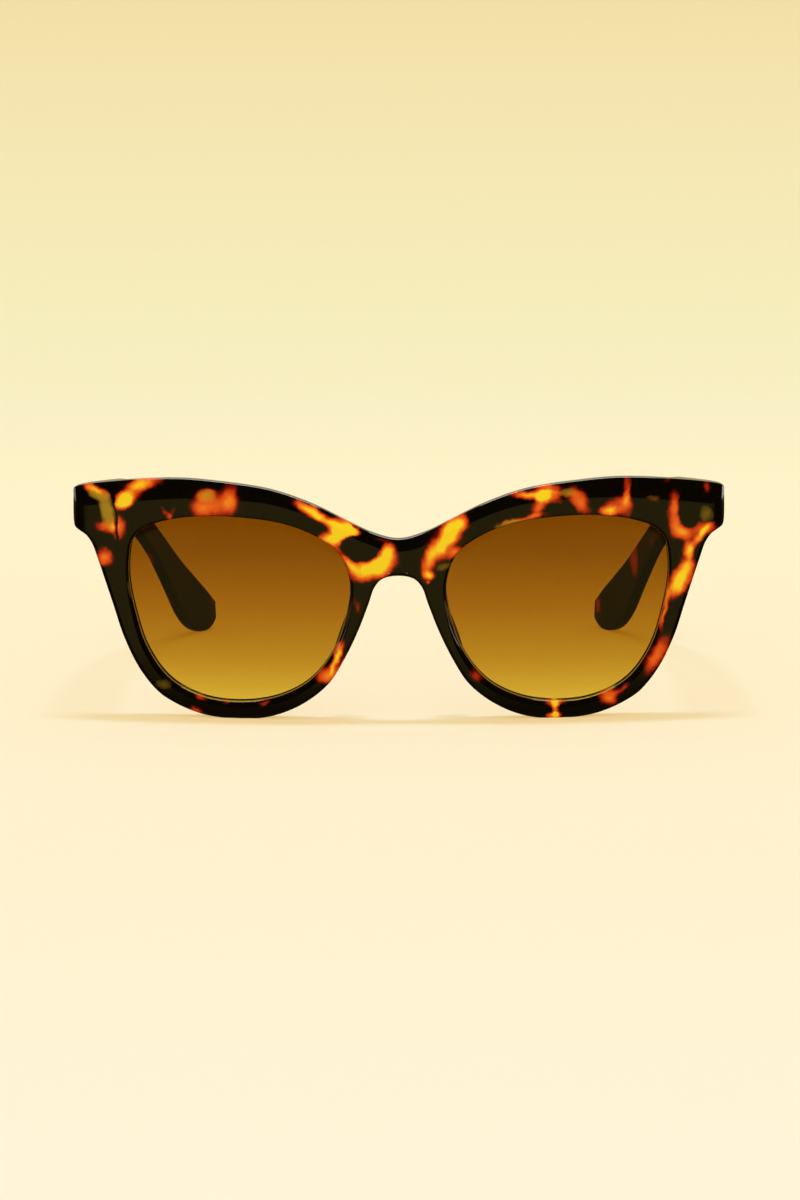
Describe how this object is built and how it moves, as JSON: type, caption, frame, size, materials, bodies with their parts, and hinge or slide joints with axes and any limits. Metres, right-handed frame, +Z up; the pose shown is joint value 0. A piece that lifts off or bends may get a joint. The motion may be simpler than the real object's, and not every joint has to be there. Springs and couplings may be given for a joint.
{
  "type": "cat eye sunglasses",
  "caption": "Cat-eye sunglasses with an upswept acetate front, tinted lenses and folding temples that stay where they are put.",
  "frame": {"origin": "middle of the object's box, on the plane that the rim bottoms and the temple tips stand on", "axes": "+Z up, +X to the side across the face, the front of the glasses faces -Y and the temples run back along +Y"},
  "size_m": [0.1472, 0.1459, 0.0541],
  "materials": {
    "tortoise_acetate": "polished dark tortoise acetate with red, orange and yellow patches",
    "brown_gradient_lens": "clear brown gradient tint, darker at the top",
    "hinge_brass": "bright brass",
    "screw_steel": "turned steel",
    "core_wire_metal": "drawn wire"
  },
  "bodies": {
    "front": {"frame_front": "tortoise_acetate", "lens_left": "brown_gradient_lens", "lens_right": "brown_gradient_lens", "nose_pad_left": "tortoise_acetate", "nose_pad_right": "tortoise_acetate", "front_hinge_leaf_left": "hinge_brass", "front_hinge_leaf_right": "hinge_brass", "hinge_screw_left": "screw_steel", "hinge_screw_right": "screw_steel"},
    "temple_left": {"temple_left": "tortoise_acetate", "temple_core_left": "core_wire_metal", "temple_hinge_leaf_left": "hinge_brass"},
    "temple_right": {"temple_right": "tortoise_acetate", "temple_core_right": "core_wire_metal", "temple_hinge_leaf_right": "hinge_brass"}
  },
  "joints": [
    {"name": "temple_left_fold", "type": "hinge", "parent": "front", "child": "temple_left", "pos_m": [-0.0676, -0.0568, 0.048], "axis": [0, 0, -1], "range_deg": [0, 84]},
    {"name": "temple_right_fold", "type": "hinge", "parent": "front", "child": "temple_right", "pos_m": [0.0676, -0.0568, 0.048], "axis": [0, 0, 1], "range_deg": [0, 76]}
  ]
}
